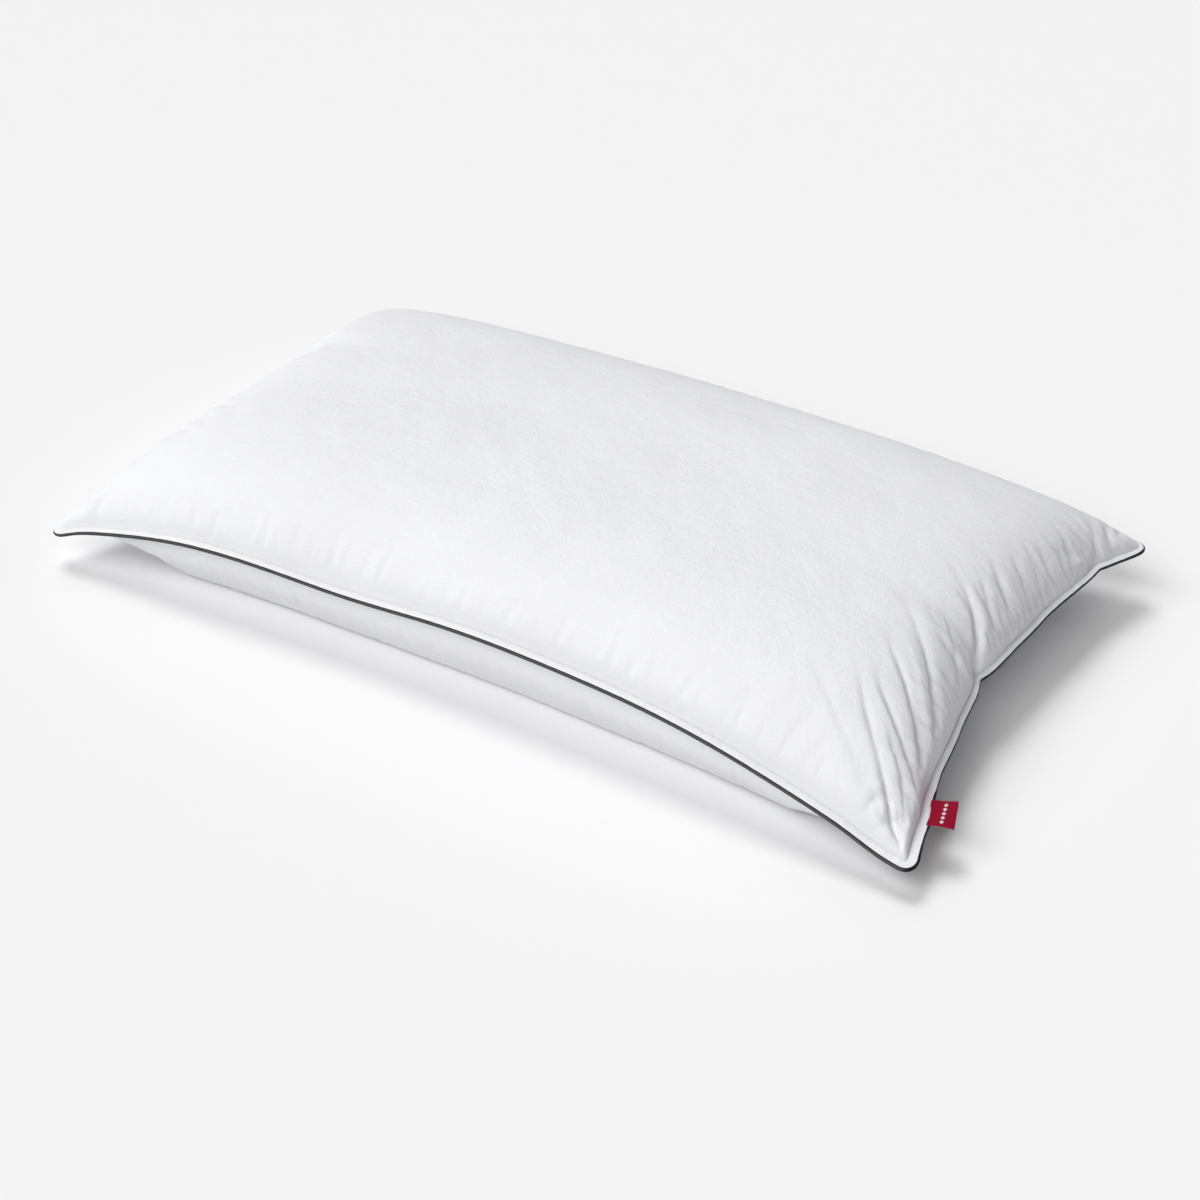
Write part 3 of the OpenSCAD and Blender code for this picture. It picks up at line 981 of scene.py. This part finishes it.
def roll_share(run):
    """1 along the right end, where the upper fold rolls over the piping a little."""
    first, last = seam.breaks[1], seam.breaks[2]
    return np.clip((run - first - 0.01) / 0.03, 0, 1) * np.clip((last - run - 0.01) / 0.03, 0, 1)


def flange_rows(run, side, seed):
    """Rows of points from the stitch line out to the fold and in to the allowance's end."""
    row = seam.at(run)
    puff = 0.00030 * waves(run, seed, (0.0071, 0.0093, 0.0127, 0.021, 0.033), seam.length)
    edge = 0.05 * waves(run, seed + 1, (0.011, 0.017, 0.029, 0.07), seam.length)
    label = label_bump(run, side)
    over = roll_share(run) * (1 - label) * (side > 0)
    fold = WRAP_LAST + edge + 0.40 * over - 0.15 * label
    sections = [(place / 1000 + 0 * run, up / 1000 + puff * share + 0.0007 * label)
                for place, up, share in SKIN_ROWS]
    for share, up in WRAP_ROWS:
        angle = WRAP_FIRST + (fold - WRAP_FIRST) * share
        reach = PIPING_RADIUS + up / 1000 + 0.00045 * label
        sections.append((reach * np.cos(angle), reach * np.sin(angle)))
    sections += [(place / 1000 + 0 * run, up / 1000 + 0 * run) for place, up in ALLOWANCE_ROWS]
    return [(on_edge(row, inward, side * up), inward, up) for inward, up in sections]


def add_cover(name, side, folds, dents, seed, material):
    """A cotton panel with its flange and turned-in allowance; flat is its place in the cut."""
    grid, smooth = relaxed_panel(side, folds + seam_folds(seed + 50, side), dents, seed)
    count_x, count_y = grid.shape[1] - 1, grid.shape[2] - 1
    points = [grid.transpose(1, 2, 0).reshape(-1, 3)]
    quads = [grid_quads(count_x, count_y)]
    u, v = panel_places(count_x, count_y)
    flat = [np.stack([u * PANEL_CUT[0] / 2, v * PANEL_CUT[1] / 2], -1).reshape(-1, 2)]
    last = border_index(count_x, count_y)
    edge_flat = flat[0][last]
    at_border = np.c_[abs(u.ravel()[last]) > 0.9999, abs(v.ravel()[last]) > 0.9999]
    away = np.sign(edge_flat) * at_border
    total = len(points[0])
    done, before = np.zeros(len(last)), (FLANGE, STITCH_RISE)
    for row, inward, up in flange_rows(np.concatenate(seam.shares(count_x, count_y)), side, seed + 7):
        done = done + np.hypot(inward - before[0], up - before[1])
        before = (inward, up)
        this = total + np.arange(len(row))
        quads.append(np.stack([last, this, np.roll(this, -1), np.roll(last, -1)], -1))
        points.append(row)
        flat.append(edge_flat + away * done[:, None])
        total += len(row)
        last = this
    quads = np.concatenate(quads)
    if side < 0:
        quads = quads[:, ::-1]
    mesh = mesh_from(name, np.concatenate(points), quads, np.concatenate(flat))
    return add_object(name, mesh, material), grid, smooth


# ---------------------------------------------------------------- piping and threads
def swept(run, inward, up, closed=True):
    """Quads and points of a section carried along the seam; inward and up are (runs, section)."""
    inward = np.broadcast_to(inward, (len(run), np.shape(inward)[-1]))
    up = np.broadcast_to(up, inward.shape)
    points = on_edge(np.repeat(seam.at(run)[:, None], inward.shape[1], axis=1), inward, up)
    index = np.arange(points.shape[0] * points.shape[1]).reshape(points.shape[:2])
    after = np.roll(index, -1, 0)
    if closed:
        beside = np.roll(index, -1, 1)
        quads = np.stack([index, after, np.roll(after, -1, 1), beside], -1)
    else:
        quads = np.stack([index[:, :-1], after[:, :-1], after[:, 1:], index[:, 1:]], -1)
    return points.reshape(-1, 3), quads.reshape(-1, 4)


PIPING_STEPS = 1500
# The tape's edges behind the cord: distance in, and half the space between them
LIP_IN = (0.0095, 0.0060, 0.0030)
LIP_UP = (0.00020, 0.00018, 0.00018)
TAPE_WIDTH = 0.032


def add_piping(material):
    """The bias tape round the cord, with both of its edges in the seam as a lip."""
    run = np.arange(PIPING_STEPS) * seam.length / PIPING_STEPS
    angle = np.radians(np.linspace(-172, 172, 25))
    wobble = 1 + 0.025 * waves(run, 31, (0.006, 0.0085, 0.013, 0.03), seam.length)[:, None]
    ring_in = -PIPING_RADIUS * np.cos(angle)[None, :] * wobble
    ring_up = PIPING_RADIUS * np.sin(angle)[None, :] * wobble
    lip_in, lip_up = np.array([LIP_IN]), np.array([LIP_UP])
    ones = np.ones((len(run), 1))
    inward = np.concatenate([lip_in * ones, ring_in, lip_in[:, ::-1] * ones], 1)
    up = np.concatenate([-lip_up * ones, ring_up, lip_up[:, ::-1] * ones], 1)
    points, quads = swept(run, inward, up, closed=False)
    flat = np.stack(np.meshgrid(run, np.linspace(0, TAPE_WIDTH, inward.shape[1]), indexing="ij"), -1)
    mesh = mesh_from("piping_tape_cover", points, quads[:, ::-1], flat)
    return add_object("piping_tape_cover", mesh, material)


# The cord's steps along the seam, the radius of a strand and the length of one twist
CORD_STEPS = 1380
CORD_STRAND = 0.00068
CORD_TWIST = 0.012


def joined(pieces):
    """One array of points and one of quads from several pairs of them."""
    points, quads, total = [], [], 0
    for more, faces in pieces:
        points.append(more)
        quads.append(faces + total)
        total += len(more)
    return np.concatenate(points), np.concatenate(quads)


def add_cord(material):
    """The twisted filler cord: three strands laid round each other."""
    run = np.arange(CORD_STEPS) * seam.length / CORD_STEPS
    angle = np.linspace(0, 2 * math.pi, 8, endpoint=False)[None, :]
    turns = round(seam.length / CORD_TWIST)
    strands = []
    for strand in range(3):
        twist = (2 * math.pi * (turns * run / seam.length + strand / 3))[:, None]
        inward = CORD_STRAND * (np.cos(twist) + np.cos(angle))
        up = CORD_STRAND * (np.sin(twist) + np.sin(angle))
        strands.append(swept(run, inward, up))
    mesh = mesh_from("piping_cord_strands", *joined(strands))
    return add_object("piping_cord_strands", mesh, material)


def stitch_line(starts, length, place, up, arch, thick, side):
    """Small arched stitches that dive into the cloth at both ends."""
    t = np.array([0, 0.12, 0.5, 0.88, 1])
    swell = np.array([0.35, 0.9, 1, 0.9, 0.35])
    angle = np.linspace(0, 2 * math.pi, 6, endpoint=False)
    run = (starts[:, None] + length * t[None, :]).ravel()
    rise = np.tile(arch * np.sin(math.pi * t) ** 0.5 - 0.35 * arch, len(starts))
    radius = np.tile(thick / 2 * swell, len(starts))
    inward = place + radius[:, None] * np.cos(angle)[None, :]
    height = side * (up + rise)[:, None] + radius[:, None] * np.sin(angle)[None, :]
    points = on_edge(np.repeat(seam.at(run)[:, None], len(angle), axis=1), inward, height)
    index = np.arange(len(run) * 6).reshape(len(starts), 5, 6)
    first, second = index[:, :-1], index[:, 1:]
    sides = np.stack([first, second, np.roll(second, -1, 2), np.roll(first, -1, 2)], -1)
    caps = []
    for end, order in ((0, (0, 1, 2, 3)), (4, (3, 2, 1, 0))):
        ring = index[:, end]
        caps.append(ring[:, list(order)])
        caps.append(ring[:, [(k + 3) % 6 for k in order]])
    return points.reshape(-1, 3), np.concatenate([sides.reshape(-1, 4)] + caps)


def add_stitches(name, rows, material):
    """One thread's stitches; rows are what stitch_line takes."""
    mesh = mesh_from(name, *joined(stitch_line(*row) for row in rows))
    return add_object(name, mesh, material)


# Each thread: stitch length, place in from the piping, height above the seam, arch, thickness
STITCH_PITCH = 0.0031
TOPSTITCH = (0.0023, STITCH_PLACE, 0.00098, 0.0002, 0.00026)
SEAM_STITCH = (0.0023, 0.0030, 0.00033, 0.0001, 0.0002)
CLOSING_PITCH = 0.0025
CLOSING_STITCH = (0.0019, 0.0050, 0.00144, 0.0002, 0.00026)
# Where the closing seam starts and ends, from the middle of the left end
CLOSING_SPAN = (-0.085, 0.083)


def add_threads(material):
    """The two topstitching threads, the edge seam's thread and the closing seam's."""
    pitch = seam.length / round(seam.length / STITCH_PITCH)
    every = np.arange(0, seam.length - pitch / 2, pitch)
    middle = (seam.breaks[3] + seam.breaks[4]) / 2
    close = np.arange(middle + CLOSING_SPAN[0], middle + CLOSING_SPAN[1], CLOSING_PITCH)
    threads = [
        ("topstitch_thread_upper", [(every, *TOPSTITCH, 1)]),
        ("topstitch_thread_lower", [(every, *TOPSTITCH, -1)]),
        ("seam_thread", [(every, *SEAM_STITCH, 1), (every + pitch / 2, *SEAM_STITCH, -1)]),
        ("closing_thread", [(close, *CLOSING_STITCH, 1), (close, *CLOSING_STITCH, -1)]),
    ]
    return [add_stitches(name, rows, material) for name, rows in threads]


# ---------------------------------------------------------------- filling
def lowest_near(field, reach):
    """The lowest value within so many points of each point."""
    for axis in (0, 1):
        size = field.shape[axis]
        steps = [np.clip(np.arange(size) + step, 0, size - 1) for step in range(-reach, reach + 1)]
        field = np.minimum.reduce([np.take(field, step, axis=axis) for step in steps])
    return field


def add_filling(panels, material):
    """The mass of down, a little inside both covers, with its soft clusters.

    panels has each cover's cloth and the smooth shape under it, the upper one first."""
    count_x, count_y = panels[0][0].shape[1] - 1, panels[0][0].shape[2] - 1
    take_x = np.r_[3, np.arange(6, count_x - 5, 3), count_x - 3]
    take_y = np.r_[3, np.arange(6, count_y - 5, 3), count_y - 3]
    thick = panels[0][1][2] - panels[1][1][2]
    layers = []
    for (cloth, smooth), side, seed in zip(panels, (1, -1), (81, 82)):
        normal = np.zeros_like(cloth)
        normal[:, 1:-1, 1:-1] = outward(smooth, side)
        proud = lowest_near(((cloth - smooth) * normal).sum(0), 4)
        clusters = 0.0010 * (1 + smooth_noise(smooth[0], smooth[1], seed, 0.022))
        depth = 0.0011 - np.minimum(proud, 0) + clusters * np.clip(thick / 0.03, 0, 1)
        inside = smooth - normal * np.minimum(depth, 0.35 * thick)
        layers.append(inside[:, take_x][:, :, take_y].transpose(1, 2, 0).reshape(-1, 3))
    quads = grid_quads(len(take_x) - 1, len(take_y) - 1)
    below = quads[:, ::-1] + len(layers[0])
    loop = border_index(len(take_x) - 1, len(take_y) - 1)
    under = loop + len(layers[0])
    rim = np.stack([loop, under, np.roll(under, -1), np.roll(loop, -1)], -1)
    mesh = mesh_from("down_filling", np.concatenate(layers), np.concatenate([quads, below, rim]))
    return add_object("down_filling", mesh, material)


# ---------------------------------------------------------------- labels
def label_frame(name):
    """Hinge place and the outward, along and up directions of a label, from its joint."""
    joint = [j for j in frame["joints"] if j["name"] == name][0]
    place = Vector(joint["pos_m"])
    along = -Vector(joint["axis"]).normalized()
    outward_way = along.cross(Vector((0, 0, 1))).normalized()
    return place, outward_way, along, outward_way.cross(along)


def strip_mesh(name, frame_of, line, width, thick, bend_line):
    """A ribbon of some thickness that follows a line in the (out, up) plane across a width.

    bend_line(points, across, run) moves the line's points for a place across the ribbon, and
    says how far each slides along it; run is the length along the line."""
    place, out_way, along_way, up_way = [np.array(v) for v in frame_of]
    line = np.array(line, float)
    tangent = np.gradient(line, axis=0)
    tangent /= np.linalg.norm(tangent, axis=1)[:, None]
    normal = np.c_[-tangent[:, 1], tangent[:, 0]]
    loop = np.r_[line + normal * thick / 2, (line - normal * thick / 2)[::-1]]
    run = np.r_[0, np.cumsum(np.linalg.norm(np.diff(line, axis=0), axis=1))]
    run = np.r_[run, run[::-1]]
    steps = 14
    points, flat = [], []
    for k in range(steps + 1):
        across = width * (k / steps - 0.5)
        bent, slide = bend_line(loop, across, run)
        points.append(place + bent[:, :1] * out_way + bent[:, 1:] * up_way
                      + (across + slide)[:, None] * along_way)
        flat.append(np.c_[np.full(len(loop), across), run])
    size = len(loop)
    half = size // 2
    index = np.arange((steps + 1) * size).reshape(steps + 1, size)
    first, second = index[:-1], index[1:]
    skin = np.stack([first, np.roll(first, -1, 1), np.roll(second, -1, 1), second], -1).reshape(-1, 4)
    caps = []
    for row, turned in ((0, True), (steps, False)):
        ring = index[row]
        cap = np.stack([ring[:half - 1], ring[size - 1:half:-1],
                        ring[size - 2:half - 1:-1], ring[1:half]], -1)
        caps.append(cap if turned else cap[:, ::-1])
    return mesh_from(name, np.concatenate(points), np.concatenate([skin] + caps), np.concatenate(flat))


def folded_line(inside, reach, angle, gap, belly):
    """Centre line of a folded label, from its first sewn end round the fold to the second.

    inside lists the sewn part from the seam to the fold line, in m from the fold line."""
    inside = np.array(inside)
    way = np.array([math.cos(angle), math.sin(angle)])
    side = np.array([-way[1], way[0]])
    out = []
    for sign in (1, -1):
        shifted = inside + sign * gap / 2 * np.array([0, 1])
        t = np.linspace(0, 1, 17)[1:]
        flap = way[None, :] * (t * reach)[:, None]
        flap = flap + side[None, :] * (sign * (gap / 2 + belly * np.sin(math.pi * t) ** 1.5))[:, None]
        out.append(np.r_[shifted, flap])
    turn = np.radians(np.linspace(90, -90, 9)[1:-1])
    end = way * reach + way * (gap / 2) * np.cos(turn)[:, None] + side * (gap / 2) * np.sin(turn)[:, None]
    return np.r_[out[0], end, out[1][::-1]]


# The sewn part of a label from its hidden end to the fold line, in mm from the fold line:
# outward, and down (brand label) or up (care label) from it
SEWN_LINE = [
    (-12.2, 1.80), (-8.0, 1.80), (-5.6, 1.78), (-4.95, 1.62), (-4.75, 1.30), (-4.45, 0.85),
    (-3.95, 0.40), (-3.3, 0.12), (-2.5, 0.02), (-1.4, 0), (-0.5, 0),
]
FOLD_OUT = 0.0026


def sewn_line(side):
    """The sewn part in metres, for a label on the upper (1) or the lower (-1) face."""
    return [(out / 1000, -side * down / 1000) for out, down in SEWN_LINE]


def tilted_in(bent, fall):
    """Leans the sewn part of a label with the flange that holds it."""
    bent[:, 1] += fall * np.maximum(-bent[:, 0] - FOLD_OUT, 0)


def fall_at(name):
    """How much the flange falls outward where a label is sewn in."""
    return seam.at(seam.run_at(*LABEL_SHARES[name]))[5]


# The red label: its flap's reach, width, rise from the level, belly, the space between its
# two layers and the ribbon's thickness
BRAND_REACH = 0.0188
BRAND_WIDTH = 0.026
BRAND_ANGLE = math.radians(10)
BRAND_BELLY = 0.00030
BRAND_GAP = 0.00034
BRAND_THICK = 0.00017
# Its motif: how many diamonds, how far apart, half their size, how far out, and the yarns in one
DIAMONDS = 5
DIAMOND_PITCH = 0.0043
DIAMOND_HALF = 0.0019
MOTIF_PLACE = 0.0090
YARNS = 13
YARN_SIDES = 6
YARN_POINTS = 4


def brand_rise(share, across):
    """How far the red label's flap curls up at a share of its reach and a place across."""
    return share ** 1.5 * 0.0011 * across / (BRAND_WIDTH / 2) - 0.0007 * share ** 2


def add_brand_label(red):
    """The folded red ribbon: its flap bends at the fold line, its ends lie in the seam."""
    frame_of = label_frame("brand_label_fold")
    fall = fall_at("brand_label_fold")

    def bend_line(loop, across, run):
        share = np.clip(loop[:, 0] / BRAND_REACH, 0, 1)
        corner = max(0.0, across / (BRAND_WIDTH / 2) - 0.55)
        front = -across / (BRAND_WIDTH / 2)
        bent = loop.copy()
        bent[:, 0] += np.where(loop[:, 0] > 0, (0.0010 * front - 0.0028 * corner ** 2) * share ** 2, 0)
        bent[:, 1] += brand_rise(share, across)
        tilted_in(bent, fall)
        askew = 0.0026 * np.clip(run / run.max() - 0.2, 0, 0.6)
        return bent, askew - 0.0008 * front * share ** 2 - 0.0006

    line = folded_line(sewn_line(1), BRAND_REACH, BRAND_ANGLE, BRAND_GAP, BRAND_BELLY)
    mesh = strip_mesh("red_label_strip", frame_of, line, BRAND_WIDTH, BRAND_THICK, bend_line)
    strip = add_object("red_label_strip", mesh, red, body=None)
    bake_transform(strip)
    return strip


def yarn_points(across, half, frame_of):
    """Rings of points of one yarn of the motif, which lies on the red label's upper layer."""
    place, out_way, along_way, up_way = frame_of
    points = []
    for t in np.linspace(MOTIF_PLACE - half, MOTIF_PLACE + half, YARN_POINTS):
        share = t / BRAND_REACH
        over = 0.00026 + BRAND_BELLY * math.sin(math.pi * share) ** 1.5
        out = t * math.cos(BRAND_ANGLE) - over * math.sin(BRAND_ANGLE)
        up = t * math.sin(BRAND_ANGLE) + over * math.cos(BRAND_ANGLE) + brand_rise(share, across)
        slide = 0.0008 * across / (BRAND_WIDTH / 2) * share ** 2
        for a in np.linspace(0, 2 * math.pi, YARN_SIDES, endpoint=False):
            points.append(place + out * out_way + (up + 0.00011 * math.sin(a)) * up_way
                          + (across + slide + 0.00015 * math.cos(a)) * along_way)
    return points


def yarn_quads():
    """The faces of one yarn: its sides, then both of its ends."""
    index = np.arange(YARN_POINTS * YARN_SIDES).reshape(YARN_POINTS, YARN_SIDES)
    turned = np.roll(index, -1, 1)
    sides = np.stack([index[:-1], index[1:], turned[1:], turned[:-1]], -1).reshape(-1, 4)
    caps = [[ring[(k + shift) % YARN_SIDES] for k in order]
            for ring, order in ((index[0], (0, 1, 2, 3)), (index[-1], (3, 2, 1, 0)))
            for shift in (0, 3)]
    return np.r_[sides, np.array(caps)]


def add_motif(yarn):
    """A row of plain woven diamonds on the red label's flap."""
    frame_of = [np.array(v) for v in label_frame("brand_label_fold")]
    steps = YARNS // 2 + 1
    yarns = []
    for diamond in range(DIAMONDS):
        middle = (diamond - (DIAMONDS - 1) / 2) * DIAMOND_PITCH
        for bar in range(1 - steps, steps):
            half = DIAMOND_HALF * (1 - abs(bar) / steps)
            across = middle + bar * DIAMOND_HALF / steps
            yarns.append((yarn_points(across, half, frame_of), yarn_quads()))
    mesh = mesh_from("woven_diamonds", *joined(yarns))
    return add_object("woven_diamonds", mesh, yarn, body="brand_flap")


# The care label's flap: reach, width, the way it hangs, belly, space between layers, thickness
CARE_REACH = 0.0378
CARE_WIDTH = 0.030
CARE_ANGLE = math.radians(-80)
CARE_BELLY = 0.0005
CARE_GAP = 0.00036
CARE_THICK = 0.00016


def add_care_label(white):
    """The folded white ribbon that hangs from the left end's seam."""
    frame_of = label_frame("care_label_fold")
    fall = fall_at("care_label_fold")

    def bend_line(loop, across, run):
        down = np.clip(-loop[:, 1] / CARE_REACH, 0, 1)
        down = np.where(loop[:, 0] > -0.002, down, 0)
        bent = loop.copy()
        bent[:, 0] += 0.0022 * np.sin(math.pi * down * 0.9) + 0.0008 * down * math.sin(across * 160)
        tilted_in(bent, fall)
        return bent, 0.0006 * down

    line = folded_line(sewn_line(-1), CARE_REACH, CARE_ANGLE, CARE_GAP, CARE_BELLY)
    mesh = strip_mesh("care_label_strip", frame_of, line, CARE_WIDTH, CARE_THICK, bend_line)
    strip = add_object("care_label_strip", mesh, white, body=None)
    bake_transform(strip)
    return strip


add_camera()
add_lights()
add_floor()
cotton = cotton_material()
piping = piping_material()
cord = strand_material("cord_core", (0.22, 0.22, 0.23), (0.10, 0.10, 0.11), 0.8, 0.0011)
thread = strand_material("white_thread", (0.86, 0.86, 0.87), (0.66, 0.66, 0.68), 0.5, 0.0004)
motif_yarn = strand_material("label_motif", (0.84, 0.80, 0.80), (0.62, 0.50, 0.52), 0.5, 0.0004)
red = ribbon_material("red_label", (0.29, 0, 0.022), (0.22, 0, 0.015), (0.36, 0.01, 0.05),
                      BRAND_WIDTH / 2, 0.75, 0.00042)
white_label = ribbon_material("white_label", (0.82, 0.82, 0.82), (0.70, 0.70, 0.71),
                              (0.86, 0.86, 0.86), 0.015, 0.4, 0.00036)
down = down_material()
cover_top, *panel_top = add_cover("cotton_top", 1, FOLDS_TOP, DENTS_TOP, 5, cotton)
cover_bottom, *panel_bottom = add_cover("cotton_bottom", -1, FOLDS_BOTTOM, [], 6, cotton)
filling = add_filling((panel_top, panel_bottom), down)
tape = add_piping(piping)
core = add_cord(cord)
upper, lower, inner, closing = add_threads(thread)
brand = add_brand_label(red)
motif = add_motif(motif_yarn)
care = add_care_label(white_label)
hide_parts("top_cover")
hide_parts("bottom_cover")
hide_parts("down_fill")
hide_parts("piping_tape")
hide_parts("piping_cord")
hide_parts("topstitch_upper")
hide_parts("topstitch_lower")
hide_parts("edge_seam_thread")
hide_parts("closing_seam_thread")
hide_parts("brand_label", "brand_label_tail")
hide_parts("brand_label_motif")
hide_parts("care_label", "care_label_tail")

bpy.context.view_layer.update()
